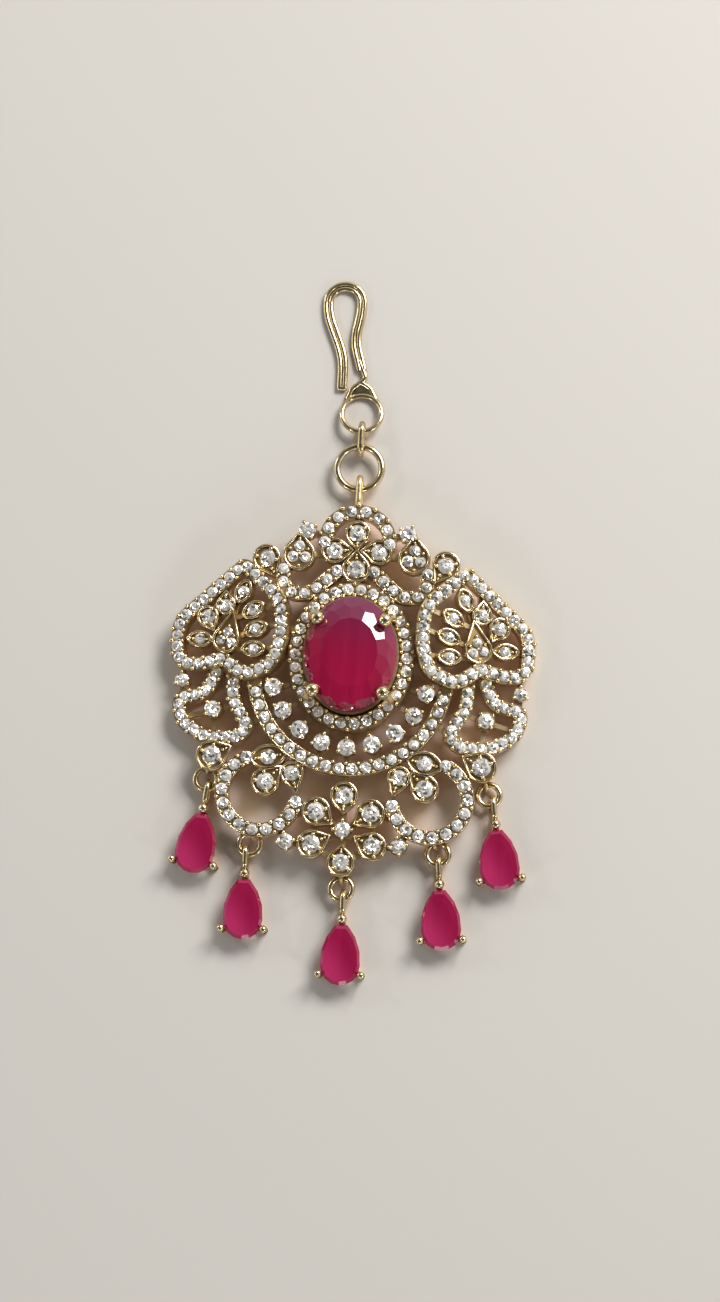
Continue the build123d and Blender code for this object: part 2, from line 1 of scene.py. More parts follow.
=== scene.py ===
"""The looks of the maang tikka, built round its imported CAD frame: clear stones, beads and prongs,
wire rims, faceted red stones, old gold, a pale floor, soft studio light and the camera.

The layout tables are the part's own, in millimetres: x and y from the centre of the oval setting,
z from the floor. What is made from them is in metres, in the frame's own axes."""

import random
from math import acos, atan2, ceil, cos, pi, radians, sin, sqrt, tan

import bmesh
import bpy
import numpy as np
from mathutils import Matrix, Vector
from mathutils.bvhtree import BVHTree


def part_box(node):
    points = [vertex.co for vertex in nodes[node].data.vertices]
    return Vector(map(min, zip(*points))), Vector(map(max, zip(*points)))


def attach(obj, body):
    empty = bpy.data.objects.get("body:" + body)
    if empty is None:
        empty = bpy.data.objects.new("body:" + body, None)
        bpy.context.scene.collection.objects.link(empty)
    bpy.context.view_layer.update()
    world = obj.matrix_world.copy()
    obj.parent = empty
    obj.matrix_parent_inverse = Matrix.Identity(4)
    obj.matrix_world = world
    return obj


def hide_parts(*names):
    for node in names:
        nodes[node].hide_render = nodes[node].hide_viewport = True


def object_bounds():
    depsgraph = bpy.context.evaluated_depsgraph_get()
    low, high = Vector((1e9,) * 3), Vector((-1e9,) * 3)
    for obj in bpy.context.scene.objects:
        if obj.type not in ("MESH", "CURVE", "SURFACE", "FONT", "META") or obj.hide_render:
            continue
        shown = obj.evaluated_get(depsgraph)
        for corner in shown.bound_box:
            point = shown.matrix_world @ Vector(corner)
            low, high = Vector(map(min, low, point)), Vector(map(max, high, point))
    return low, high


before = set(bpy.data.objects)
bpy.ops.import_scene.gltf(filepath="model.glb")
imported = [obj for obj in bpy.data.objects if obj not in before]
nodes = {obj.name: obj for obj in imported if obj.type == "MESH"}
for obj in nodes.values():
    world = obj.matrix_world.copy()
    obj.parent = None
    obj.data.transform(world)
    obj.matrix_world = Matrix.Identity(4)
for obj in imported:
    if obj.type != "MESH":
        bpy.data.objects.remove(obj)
cad_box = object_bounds()
MM = 0.001
dice = random.Random(7)

# ---------------------------------------------------------------- the part's layout, in millimetres
# oval stone: half sizes, and how far its centre lies from the setting's
STONE_X, STONE_Y, STONE_SHIFT = 4.95, 6.15, -0.2
GIRDLE_Z, GIRDLE_THICK = 4.9, 0.15
OVAL_CROWN, OVAL_PAVILION, OVAL_TABLE, OVAL_KEEL = 1.3, 2.6, 0.60, 0.3
CLAW_SPOTS, CLAW_LIFT = [(3.6, 3.3), (3.7, -4.4)], 1.41   # the claws' balls: x, y, height over the girdle
oval_low, oval_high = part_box("oval_stone")
ORIGIN = (oval_low + oval_high) / 2 - Vector((0, STONE_SHIFT * MM, 0))
ORIGIN.z = 0

HALO_X, HALO_Y, HALO_SHIFT = 5.95, 7.25, -0.25
CRESCENT = (0, -1.95, 10.3, -6, -174)                # centre x, y, radius, first and last angle
ARCH = (0, 12.1, 3.5, 0, 180)
SCROLL_RING = (9.05, -15.15, 4.0, 67, -168)
ROW_CENTRE_Y, ROW_RADIUS, ROW_STEP = -1.5, 8.48, 18.5
# routes of the paved strips on the right half: corner x, corner y, radius of the bend there
WING_EDGE = [
    (12.05, 9.25, 0.5), (19.15, 3.0, 3.0), (19.1, -1.6, 1.6), (16.3, -1.6, 2.0), (13.9, -1.0, 0.6),
    (11.4, -2.75, 1.8), (8.35, -1.5, 2.0), (7.6, 1.3, 3.0), (7.6, 5.3, 4.0),
]
LEAF_EDGE = [
    (14.5, -2.4, 0), (15.5, -4.6, 1.8), (18.55, -5.3, 0.8), (17.9, -7.9, 2.4), (15.05, -9.45, 2.6),
    (11.95, -9.3, 1.2), (10.7, -8.2, 0.8), (12.5, -5.2, 3.0), (12.6, -2.2, 0),
]
SCROLL_ARM = [(2.0, 9.0, 0), (4.8, 6.45, 1.8), (7.7, 6.35, 1.5), (7.75, 9.0, 0)]
# petals: centre x, y, radius of the opening's round end, tip x, y
CROWN_PEARS = [(2.4, 11.2, 1.1, 0.7, 11.3), (9.65, 10.1, 1.2, 8.65, 8.35)]
CROWN_TRIO = (6.2, 10.65, 1.42, 6.2, 12.8)
CROWN_MID_PEARS = [(0, 13.2, 1.08, 0, 11.6), (0, 9.25, 1.22, 0, 11.05)]
WING_PEARS = [(13.9, 4.85, 0.8, 13.95, 6.1), (15.85, 3.55, 0.9, 15.2, 2.3)]
WING_TRIO = (13.65, 1.1, 1.22, 13.1, 3.8)
LACE_PEARS = [
    (5.7, -12.9, 0.98, 5.2, -14.7), (8.5, -13.95, 1.2, 7.1, -12.45), (14.4, -11.4, 1.35, 12.6, -10.45),
    (2.9, -16.85, 1.25, 1.35, -17.95), (3.25, -20.35, 1.22, 1.55, -19.5),
]
LACE_MID_PEARS = [(0, -15.05, 1.2, 0, -16.75), (0, -22.2, 1.18, 0, -20.6)]
# marquise petals: tip x, y, tip x, y, width
WING_MARQUISES = [
    (11.57, 7.28, 12.47, 5.36, 1.25), (15.42, 1.05, 17.8, 1.15, 1.25), (9.91, 4.88, 11.69, 3.72, 1.25),
    (9.4, 2.61, 11.4, 1.89, 1.25), (9.5, 0.15, 11.6, 0.05, 1.25),
]
LACE_MARQUISES = [(6.7, -10.95, 10.0, -11.6, 2.1)]
# drops: ring centre x, y, where the drop hangs on the ring (degrees from straight down), lean
DROPS = [
    (-15.0, -13.8, 12, -7.3), (-9.9, -20.5, -17, 1.0), (0.1, -24.8, 14, 0.5), (10.15, -20.65, 8, 5.1),
    (15.3, -14.15, 28, 8.0),
]
RING_RADIUS = 1.17
HOOK_WEB, WEB_HEIGHTS = [(-0.42, 30.75), (-1.7, 29.2), (0.75, 29.0)], (0.15, 0.5)   # corners, heights
# drop stone: its blunt top, the bulge of its flanks and its round end lie this far down the drop,
# with these half widths; the middle that its levels are scaled about
DROP_TOP, DROP_FLANK, DROP_HEAD, DROP_MIDDLE = (2.72, 0.62), (4.5, 1.74), (6.98, 2.12), 6.2
DROP_GIRDLE, DROP_GIRDLE_THICK, DROP_CROWN, DROP_PAVILION = 1.75, 0.15, 0.55, 1.15
WALL, CUP_DEPTH = 0.28, 0.45       # wall of a collet, outside its opening, and the opening's depth
RIM_GROW = WALL * 0.6              # a petal's wire rim runs this far outside its opening

# ---------------------------------------------------------------- sizes of what is added
PAVE_STONE = 0.60                  # radius of a pave stone
PAVE_BEAD, PAVE_BEAD_OUT = 0.24, 0.59   # radius of a bead, and how far it stands from the middle line
PAVE_EDGE = 0.68                   # the rails run this far from a strip's middle line
ROW_STONE = 0.93
SCROLL_STONE = 0.64
PLATE_DEPTH = 0.2                  # the petals' floors lie this far under the rims
STONE_TILT = 0.09                  # spread of the clear stones' tilts, in radians
RAIL_WIRE, RIM_WIRE = 0.07, 0.17   # radius of the wires along a strip, and round a petal
# the oval's bevel: the direction where it is steepest; its fall, and how far out its notches and its
# points lie, there and on the far side
BEVEL_STEEPEST = 55
BEVEL_FALL, BEVEL_NOTCH, BEVEL_POINT = (2.4, 0.8), (0.77, 0.87), (0.84, 0.94)
CLAW_CAP = 0.76                    # radius of the polished ball on each claw


# ---------------------------------------------------------------- places on the frame
class Layer:
    """A layer of the frame: the height of its upper face at x = hinge, and its fall outwards."""

    def __init__(self, top, hinge=0.0, fall=0.0):
        self.top, self.hinge, self.fall = top, hinge, radians(fall)

    def place(self, x, y, up=0.0, spin=0.0, size=1.0, tilt=(0.0, 0.0)):
        """A matrix at a point on the upper face, whose z is the face's normal. Size is in millimetres."""
        side = -1 if x < 0 else 1
        away = abs(x) - self.hinge
        normal = Vector((side * sin(self.fall), 0, cos(self.fall)))
        along = Vector((cos(self.fall), 0, -side * sin(self.fall)))
        spot = Vector((side * (self.hinge + away * cos(self.fall)), y, self.top - away * sin(self.fall)))
        turn = Matrix((along, Vector((0, 1, 0)), normal)).transposed().to_4x4()
        turn = turn @ Matrix.Rotation(tilt[0], 4, "X") @ Matrix.Rotation(tilt[1], 4, "Y")
        turn = turn @ Matrix.Rotation(spin, 4, "Z")
        spot = ORIGIN + (spot + normal * up) * MM
        return Matrix.Translation(spot) @ turn @ Matrix.Diagonal((size * MM, size * MM, size * MM, 1))


HALO = Layer(3.6)
ROW = Layer(3.3)
CRESCENT_FACE = Layer(3.1)
CROWN = Layer(3.4)
LACE = Layer(2.8)
WING = Layer(4.6, 7.5, 12)
LEAF = Layer(2.6, 10.5, 6)

frame_tree = BVHTree.FromPolygons(
    [v.co for v in nodes["pendant_frame"].data.vertices],
    [p.vertices for p in nodes["pendant_frame"].data.polygons],
)


def in_the_open(place, allowed=0.25):
    """Whether nothing of the frame lies higher than this place by more than allowed millimetres."""
    spot = place.translation
    hit, *_ = frame_tree.ray_cast(Vector((spot.x, spot.y, cad_box[1].z + MM)), Vector((0, 0, -1)))
    return hit is None or hit.z < spot.z + allowed * MM


def rounded(route, closed=False):
    """Points along straight runs that are joined by arcs at a route's corners."""
    corners = [Vector((x, y)) for x, y, _ in route]
    points = []
    for i, (corner, (*_, bend)) in enumerate(zip(corners, route)):
        if not closed and i in (0, len(route) - 1):
            points.append(corner)
            continue
        back = (corners[i - 1] - corner).normalized()
        on = (corners[(i + 1) % len(corners)] - corner).normalized()
        half = back.angle(on) / 2
        centre = corner + (back + on).normalized() * (bend / sin(half))
        start = corner + back * (bend / tan(half)) - centre
        end = corner + on * (bend / tan(half)) - centre
        steps = ceil((pi - 2 * half) / radians(6)) + 1
        start, end = start.normalized(), end.normalized()
        points += [centre + start.slerp(end, k / steps) * bend for k in range(steps + 1)]
    return points


def arc(x, y, radius, first, last):
    """Points along an arc."""
    steps = ceil(abs(last - first) / 3)
    angles = [radians(first + (last - first) * k / steps) for k in range(steps + 1)]
    return [Vector((x + radius * cos(a), y + radius * sin(a))) for a in angles]


def ellipse(half_x, half_y, shift, steps=180):
    """Points round an ellipse."""
    turns = [2 * pi * k / steps for k in range(steps)]
    return [Vector((half_x * cos(t), shift + half_y * sin(t))) for t in turns]


def spaced(points, count, closed=False, start=0.0):
    """Places at equal steps along a line of points: x, y and direction. An open line's ends get one too."""
    line = np.array([tuple(p) for p in points] + ([tuple(points[0])] if closed else []))
    run = np.concatenate([[0], np.cumsum(np.linalg.norm(np.diff(line, axis=0), axis=1))])
    wanted = (np.arange(count) + start) * run[-1] / (count if closed else count - 1)
    x = np.interp(wanted, run, line[:, 0])
    y = np.interp(wanted, run, line[:, 1])
    leg = np.clip(np.searchsorted(run, wanted, side="right") - 1, 0, len(line) - 2)
    step = line[leg + 1] - line[leg]
    return [(float(a), float(b), atan2(d[1], d[0])) for a, b, d in zip(x, y, step)]


def both(points):
    """A right-hand line of points, and its mirror image."""
    return points, [Vector((-p.x, p.y)) for p in points]


# ---------------------------------------------------------------- small solids and how they are joined
class Joined:
    """Many small solids gathered into one mesh."""

    def __init__(self):
        self.points, self.faces, self.count = [], [], 0

    def add(self, shape, place=None):
        points, faces = shape
        if place is not None:
            turn = np.array(place)
            points = points @ turn[:3, :3].T + turn[:3, 3]
        self.points.append(points)
        self.faces += [tuple(i + self.count for i in face) for face in faces]
        self.count += len(points)

    def build(self, name, slot, material, smooth):
        mesh = bpy.data.meshes.new(name)
        mesh.from_pydata(np.concatenate(self.points).tolist(), [], self.faces)
        mesh.polygons.foreach_set("use_smooth", [smooth] * len(mesh.polygons))
        mesh.materials.append(material)
        mesh.update()
        made = bpy.data.objects.new(name, mesh)
        bpy.context.scene.collection.objects.link(made)
        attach(made, "root")
        return made


def from_bmesh(shape):
    """A shape's points and faces."""
    points = np.array([v.co[:] for v in shape.verts])
    faces = [tuple(v.index for v in f.verts) for f in shape.faces]
    shape.free()
    return points, faces


def ball(fineness=2):
    """A ball of radius 1."""
    shape = bmesh.new()
    bmesh.ops.create_icosphere(shape, subdivisions=fineness, radius=1)
    return from_bmesh(shape)


def post(height):
    """A round post of radius 1 with a domed top at z = 0, that reaches down by height."""
    points, faces = ball()
    points = points.copy()
    points[points[:, 2] < -0.2, 2] -= height
    return points, faces


def ring(radius, height, count, start=0.0):
    """Points evenly round a circle."""
    turns = start + np.arange(count) * 2 * pi / count
    return np.column_stack([radius * np.cos(turns), radius * np.sin(turns), np.full(count, height)])


def brilliant():
    """A round brilliant of radius 1, girdle at z = 0. Its table is cut as the star that shows through it."""
    crown = 0.30
    half = pi / 8
    rings = [
        np.array([[0, 0, crown - 0.02]]),           # 0: middle of the star
        ring(0.24, crown - 0.09, 8, half),          # 1-8
        ring(0.40, crown + 0.01, 8),                # 9-16
        ring(0.58, crown - 0.03, 8, half),          # 17-24
        ring(0.76, 0.20, 8),                        # 25-32
        ring(1.0, 0.03, 16, 0),                     # 33-48
        ring(1.0, -0.03, 16, 0),                    # 49-64
        np.array([[0, 0, -0.8]]),                   # 65
    ]
    inner, middle, table, star, upper, lower, keel = 1, 9, 17, 25, 33, 49, 65
    faces = []
    for k in range(8):
        on, back = (k + 1) % 8, (k - 1) % 8
        faces += [
            (0, inner + k, inner + on),
            (inner + back, middle + k, inner + k),
            (middle + k, table + k, inner + k),
            (inner + k, table + k, middle + on),
            (middle + k, table + back, table + k),
            (table + back, star + k, table + k),
            (star + k, upper + 2 * k, upper + 2 * k + 1),
            (star + k, upper + (2 * k - 1) % 16, upper + 2 * k),
            (star + k, upper + 2 * k + 1, table + k),
            (table + k, upper + 2 * k + 1, star + on),
        ]
    for k in range(16):
        on = (k + 1) % 16
        faces += [(upper + k, lower + k, lower + on, upper + on), (lower + k, keel, lower + on)]
    return np.concatenate(rings), faces


def tube(points, ups, radius, sides=6, closed=True):
    """A tube through points, with the direction that is up at each."""
    line = np.array([tuple(p) for p in points])
    ups = np.array([tuple(u) for u in ups])
    if closed:
        tangent = np.roll(line, -1, axis=0) - np.roll(line, 1, axis=0)
    else:
        tangent = np.gradient(line, axis=0)
    tangent /= np.linalg.norm(tangent, axis=1)[:, None]
    across = np.cross(tangent, ups)
    across /= np.linalg.norm(across, axis=1)[:, None]
    upward = np.cross(across, tangent)
    turns = np.arange(sides) * 2 * pi / sides
    shape = (
        line[:, None, :]
        + radius * np.cos(turns)[None, :, None] * across[:, None, :]
        + radius * np.sin(turns)[None, :, None] * upward[:, None, :]
    )
    faces = []
    count = len(line)
    for i in range(count if closed else count - 1):
        j = (i + 1) % count
        for s in range(sides):
            t = (s + 1) % sides
            faces.append((i * sides + s, i * sides + t, j * sides + t, j * sides + s))
    if not closed:
        faces += [tuple(reversed(range(sides))), tuple((count - 1) * sides + s for s in range(sides))]
    return shape.reshape(-1, 3), faces


BALL = ball()
BRILLIANT = brilliant()

# ---------------------------------------------------------------- camera
CAMERA_BACK = Vector((tan(radians(3.8)), -tan(radians(9)), 1)).normalized()
CAMERA_DISTANCE = 0.3
CAMERA_ROLL = radians(3.04)
FRAME_HEIGHT = 0.139               # what the frame's long side takes in at the jewel
AIM_HEIGHT, AIM_RIGHT, AIM_UP = 3, 0.906, 0.428   # where it looks, off the setting's middle, in mm
SENSOR = 36.0


def make_camera():
    """Almost straight above, seen a little from the drops' side and from the right."""
    data = bpy.data.cameras.new("camera")
    camera = bpy.data.objects.new("camera", data)
    bpy.context.scene.collection.objects.link(camera)
    bpy.context.scene.camera = camera
    data.sensor_width = SENSOR
    data.lens = SENSOR * CAMERA_DISTANCE / FRAME_HEIGHT
    data.clip_start, data.clip_end = 0.01, 20
    up = Vector((-sin(CAMERA_ROLL), cos(CAMERA_ROLL), 0))
    right = up.cross(CAMERA_BACK).normalized()
    up = CAMERA_BACK.cross(right)
    aim = ORIGIN + Vector((0, 0, AIM_HEIGHT * MM)) + right * AIM_RIGHT * MM + up * AIM_UP * MM
    camera.matrix_world = Matrix.Translation(aim + CAMERA_BACK * CAMERA_DISTANCE) @ Matrix(
        (right, up, CAMERA_BACK)
    ).transposed().to_4x4()


# ---------------------------------------------------------------- materials
def new_material(name):
    """A new material, its node tree and its Principled shader."""
    material = bpy.data.materials.new(name)
    material.use_nodes = True
    tree = material.node_tree
    shader = tree.nodes["Principled BSDF"]
    return material, tree, shader


def link_noise(tree, scale, detail, stretch=(1, 1, 1)):
    """A noise in object space."""
    coords = tree.nodes.new("ShaderNodeTexCoord")
    mapping = tree.nodes.new("ShaderNodeMapping")
    mapping.inputs["Scale"].default_value = stretch
    noise = tree.nodes.new("ShaderNodeTexNoise")
    noise.inputs["Scale"].default_value = scale
    noise.inputs["Detail"].default_value = detail
    tree.links.new(coords.outputs["Object"], mapping.inputs["Vector"])
    tree.links.new(mapping.outputs["Vector"], noise.inputs["Vector"])
    return noise.outputs["Fac"]


def link_ramp(tree, value, *stops):
    """A colour ramp over a value; each stop is a position and a colour."""
    ramp = tree.nodes.new("ShaderNodeValToRGB")
    for number, (position, colour) in enumerate(stops):
        element = ramp.color_ramp.elements[number] if number < 2 else ramp.color_ramp.elements.new(position)
        element.position = position
        element.color = (*colour, 1)
    tree.links.new(value, ramp.inputs["Fac"])
    return ramp.outputs["Color"]


def link_range(tree, value, low, high):
    """A value stretched from 0..1 to low..high."""
    stretch = tree.nodes.new("ShaderNodeMapRange")
    stretch.inputs["To Min"].default_value = low
    stretch.inputs["To Max"].default_value = high
    tree.links.new(value, stretch.inputs["Value"])
    return stretch.outputs["Result"]


def link_product(tree, first, second):
    """Two colours multiplied."""
    mix = tree.nodes.new("ShaderNodeMix")
    mix.data_type = "RGBA"
    mix.blend_type = "MULTIPLY"
    mix.inputs["Factor"].default_value = 1
    tree.links.new(first, mix.inputs[6])
    tree.links.new(second, mix.inputs[7])
    return mix.outputs[2]


def make_gold(name, dark, light, rough, paint_recess_shade):
    """Old champagne gold: uneven plate and fine rubbing, and, where asked, painted brown shade that darkens
    the colour in the recesses.
    """
    material, tree, shader = new_material(name)
    colour = link_ramp(tree, link_noise(tree, 350, 4), (0.3, dark), (0.72, light))
    if paint_recess_shade:
        # painted shade: ambient occlusion darkens and browns the gold's colour in recesses and between the
        # stones
        shade = tree.nodes.new("ShaderNodeAmbientOcclusion")
        shade.inputs["Distance"].default_value = 0.4 * MM
        shade.samples = 6
        painted_recess_shade = link_ramp(
            tree, shade.outputs["AO"],
            (0.2, (0.24, 0.14, 0.07)), (0.6, (0.74, 0.61, 0.43)), (0.85, (1, 1, 1)),
        )
        colour = link_product(tree, colour, painted_recess_shade)
    tree.links.new(colour, shader.inputs["Base Color"])
    tree.links.new(link_range(tree, link_noise(tree, 2600, 2), *rough), shader.inputs["Roughness"])
    bump = tree.nodes.new("ShaderNodeBump")
    bump.inputs["Strength"].default_value = 0.05
    bump.inputs["Distance"].default_value = 0.03 * MM
    tree.links.new(link_noise(tree, 1500, 2), bump.inputs["Height"])
    tree.links.new(bump.outputs["Normal"], shader.inputs["Normal"])
    shader.inputs["Metallic"].default_value = 1
    return material


def make_clear():
    """Clear stones, with the light that their facets throw back painted in: crisp patches of white, grey and
    dark.
    """
    material, tree, shader = new_material("clear_stone")
    coords = tree.nodes.new("ShaderNodeTexCoord")
    # painted reflection: random cells of white, grey and dark stand in for the facets' glints and dark
    # reflections
    cells = tree.nodes.new("ShaderNodeTexVoronoi")
    cells.inputs["Scale"].default_value = 3400
    tree.links.new(coords.outputs["Object"], cells.inputs["Vector"])
    pick = tree.nodes.new("ShaderNodeSeparateColor")
    tree.links.new(cells.outputs["Color"], pick.inputs["Color"])
    painted_sparkle = link_ramp(
        tree, pick.outputs["Red"],
        (0.10, (0.24, 0.23, 0.21)), (0.16, (0.56, 0.55, 0.52)), (0.32, (0.70, 0.69, 0.66)),
        (0.40, (1.0, 1.0, 0.98)),
    )
    tree.links.new(painted_sparkle, shader.inputs["Base Color"])
    shader.inputs["Metallic"].default_value = 0.7
    shader.inputs["Roughness"].default_value = 0.04
    shader.inputs["IOR"].default_value = 2.0
    return material


def make_red(name, deep, light, silk, edge, painted_side_ways):
    """Red stone with faint silk, and painted shading towards one side, as the last argument weighs x and y:
    there the colour turns to the given one, darker for painted shade, paler for painted light.
    """
    material, tree, shader = new_material(name)
    threads = link_ramp(
        tree, link_noise(tree, silk, 3, (1, 0.05, 1)), (0.3, deep), (0.75, light)
    )
    coords = tree.nodes.new("ShaderNodeTexCoord")
    weigh = tree.nodes.new("ShaderNodeVectorMath")
    weigh.operation = "DOT_PRODUCT"
    weigh.inputs[1].default_value = (*painted_side_ways, 0)
    tree.links.new(coords.outputs["Generated"], weigh.inputs[0])
    # painted shade and light: the colour moves to the given colour on one side of the stone
    mix = tree.nodes.new("ShaderNodeMix")
    mix.data_type = "RGBA"
    spread = tree.nodes.new("ShaderNodeMapRange")
    spread.interpolation_type = "SMOOTHSTEP"
    spread.inputs["From Min"].default_value = sum(w for w in painted_side_ways if w < 0) + 0.35
    spread.inputs["From Max"].default_value = sum(w for w in painted_side_ways if w > 0)
    tree.links.new(weigh.outputs["Value"], spread.inputs["Value"])
    tree.links.new(spread.outputs["Result"], mix.inputs["Factor"])
    tree.links.new(threads, mix.inputs[6])
    mix.inputs[7].default_value = (*edge, 1)
    tree.links.new(mix.outputs[2], shader.inputs["Base Color"])
    shader.inputs["Roughness"].default_value = 0.06
    shader.inputs["IOR"].default_value = 1.68
    return material


# old_gold and wire_gold carry painted brown shade in their recesses
GOLD = make_gold("old_gold", (0.60, 0.45, 0.23), (0.88, 0.73, 0.46), (0.22, 0.46), paint_recess_shade=True)
WIRE_GOLD = make_gold("wire_gold", (0.50, 0.40, 0.22), (0.76, 0.65, 0.41), (0.12, 0.28), paint_recess_shade=True)
BRIGHT_GOLD = make_gold("bright_gold", (0.58, 0.45, 0.24), (0.86, 0.73, 0.47), (0.10, 0.28), paint_recess_shade=False)
# the petals' floors: a darker, browner gold, painted shade for the cups they lie in
PAINTED_SHADE_PLATE_GOLD = make_gold("plate_gold_painted_shade", (0.36, 0.22, 0.08), (0.62, 0.44, 0.20), (0.26, 0.46), paint_recess_shade=False)
CLEAR = make_clear()
# the oval: painted shade, a darker purple towards its top
RED = make_red(
    "oval_red", (0.20, 0.002, 0.026), (0.29, 0.005, 0.045), 900, (0.12, 0.012, 0.050), (0.15, 0.85)
)
# the drops: painted light, a paler pink towards their lower left
PINK = make_red(
    "drop_red", (0.20, 0.003, 0.035), (0.27, 0.006, 0.055), 700, (0.45, 0.030, 0.13), (-0.5, -0.5)
)

# ---------------------------------------------------------------- stones and beads on the frame
stones = {}
beads = {}
plates = {}


def group(store, name):
    """The gathered solids of that name, new if there are none yet."""
    if name not in store:
        store[name] = Joined()
    return store[name]


def set_stone(area, layer, x, y, radius, up=0.05):
    """A clear stone at its own slight tilt and turn."""
    tilt = (dice.gauss(0, STONE_TILT), dice.gauss(0, STONE_TILT))
    place = layer.place(x, y, up, dice.uniform(0, 2 * pi), radius, tilt)
    group(stones, area).add(BRILLIANT, place)


def set_bead(area, layer, x, y, radius, up=0.0):
    """A round bead at its own turn."""
    group(beads, area).add(BALL, layer.place(x, y, up, dice.uniform(0, 2 * pi), radius))


def set_prong(area, layer, x, y, radius, up, height):
    """A domed prong, whose top is up above the face and that reaches height below it."""
    group(beads, area).add(post(height / radius), layer.place(x, y, up, 0, radius))


def pave(area, layer, points, count, closed=False, stone=PAVE_STONE):
    """Stones along a strip, with a bead at each edge between every two."""
    for x, y, _ in spaced(points, count, closed):
        if in_the_open(layer.place(x, y)):
            set_stone(area, layer, x, y, stone * dice.uniform(0.97, 1.02), up=0.1)
    gaps = spaced(points, count, closed, 0.5) if closed else gap_places(points, count)
    for x, y, heading in gaps:
        for edge in (1, -1):
            out = edge * PAVE_BEAD_OUT * dice.uniform(0.94, 1.05)
            spot = (x - out * sin(heading), y + out * cos(heading))
            if in_the_open(layer.place(*spot)):
                set_bead(area, layer, *spot, PAVE_BEAD * dice.uniform(0.85, 1.12), up=0.12)


def beside(points, out):
    """A line of points that runs beside another open one, out to its left."""
    line = np.array([tuple(p) for p in points])
    step = np.gradient(line, axis=0)
    step /= np.linalg.norm(step, axis=1)[:, None]
    return [Vector((x - out * b, y + out * a)) for (x, y), (a, b) in zip(line, step)]


def rails(area, layer, points):
    """Thin wires along both edges of an open strip."""
    for out in (PAVE_EDGE, -PAVE_EDGE):
        rim(area, layer, beside(points, out), RAIL_WIRE, -0.01, closed=False)


def gap_places(points, count):
    """The places half way between the stones of an open strip."""
    places = spaced(points, 2 * count - 1)
    return places[1::2]


def petal_outline(x, y, radius, tip_x, tip_y, grow=0.0):
    """Points round a pear outline."""
    tip, centre = Vector((tip_x, tip_y)), Vector((x, y))
    reach = (tip - centre).length
    lean = atan2(tip_y - y, tip_x - x)
    head = radius + grow
    flank = acos(radius / reach)
    steps = 22
    turns = [lean + flank + (2 * pi - 2 * flank) * k / steps for k in range(steps + 1)]
    points = [centre + head * Vector((cos(t), sin(t))) for t in turns]
    return points + [centre + Vector((cos(lean), sin(lean))) * (reach * head / radius)]


def marquise_outline(x1, y1, x2, y2, width, grow=0.0):
    """Points round a marquise outline."""
    middle = Vector((x1 + x2, y1 + y2)) / 2
    way = Vector((x2 - x1, y2 - y1))
    half_length = way.length / 2 + 1.4 * grow
    half_width = width / 2 + grow
    way.normalize()
    side = Vector((-way.y, way.x))
    radius = (half_length**2 + half_width**2) / (2 * half_width)
    points = []
    for sign in (1, -1):
        for k in range(12):
            along = sign * half_length * (2 * k / 12 - 1)
            out = sqrt(radius**2 - along**2) - radius + half_width
            points.append(middle + way * along + side * sign * out * -1)
    return points


def rim(area, layer, points, radius=RIM_WIRE, up=0.0, closed=True):
    """A wire round a petal, or along the edge of a strip."""
    places = [layer.place(p.x, p.y, up) for p in points]
    shape = tube([m.translation for m in places], [m.col[2][:3] for m in places], radius * MM, 6, closed)
    group(beads, area).add(shape)


def plate(area, layer, points):
    """A thin floor in a petal's cup, that its stones stand in."""
    places = np.array([layer.place(p.x, p.y, -PLATE_DEPTH).translation[:] for p in points])
    group(plates, area).add((places, [tuple(range(len(points)))]))


def pear_petal(area, layer, row):
    """A pear petal with one stone, four prongs round it and two beads towards the tip."""
    x, y, radius, tip_x, tip_y = row
    rim(area, layer, petal_outline(*row, grow=RIM_GROW))
    plate(area, layer, petal_outline(*row))
    size = 0.32 + 0.53 * radius
    set_stone(area, layer, x, y, size, up=-0.08)
    lean = atan2(tip_y - y, tip_x - x)
    for turn in (52, 128, -52, -128):
        a = lean + radians(turn)
        out = size + 0.09
        set_prong(area, layer, x + out * cos(a), y + out * sin(a), 0.23, 0.04, CUP_DEPTH)
    reach = sqrt((tip_x - x) ** 2 + (tip_y - y) ** 2)
    for part, bead in ((0.32, 0.2), (0.72, 0.15)):
        out = size + (reach - size) * part
        set_prong(area, layer, x + out * cos(lean), y + out * sin(lean), bead, 0.0, CUP_DEPTH)


def marquise_petal(area, layer, row):
    """A marquise petal with one stone and two beads towards each tip."""
    x1, y1, x2, y2, width = row
    rim(area, layer, marquise_outline(*row, grow=RIM_GROW))
    plate(area, layer, marquise_outline(*row))
    x, y = (x1 + x2) / 2, (y1 + y2) / 2
    size = 0.33 + 0.25 * width
    set_stone(area, layer, x, y, size, up=-0.08)
    lean = atan2(y2 - y1, x2 - x1)
    for turn in (0, pi):
        for out in (size + 0.13, size + 0.48):
            a = lean + turn
            set_prong(area, layer, x + out * cos(a), y + out * sin(a), 0.16, -0.02, CUP_DEPTH)


def trio_petal(area, layer, row):
    """A petal with three stones, one towards the tip and two in the round end."""
    x, y, radius, tip_x, tip_y = row
    rim(area, layer, petal_outline(*row, grow=RIM_GROW))
    plate(area, layer, petal_outline(*row))
    lean = atan2(tip_y - y, tip_x - x)
    size = 0.05 + 0.39 * radius
    for part, turn in ((0.65, 0), (0.52, 112), (0.52, -112)):
        a = lean + radians(turn)
        out = part * radius
        set_stone(area, layer, x + out * cos(a), y + out * sin(a), size, up=-0.05)
    for part, turn in ((0.07, 0), (0.8, 58), (0.8, -58), (0.86, 180), (1.2, 0)):
        a = lean + radians(turn)
        out = part * radius
        set_prong(area, layer, x + out * cos(a), y + out * sin(a), 0.18, 0.02, CUP_DEPTH)


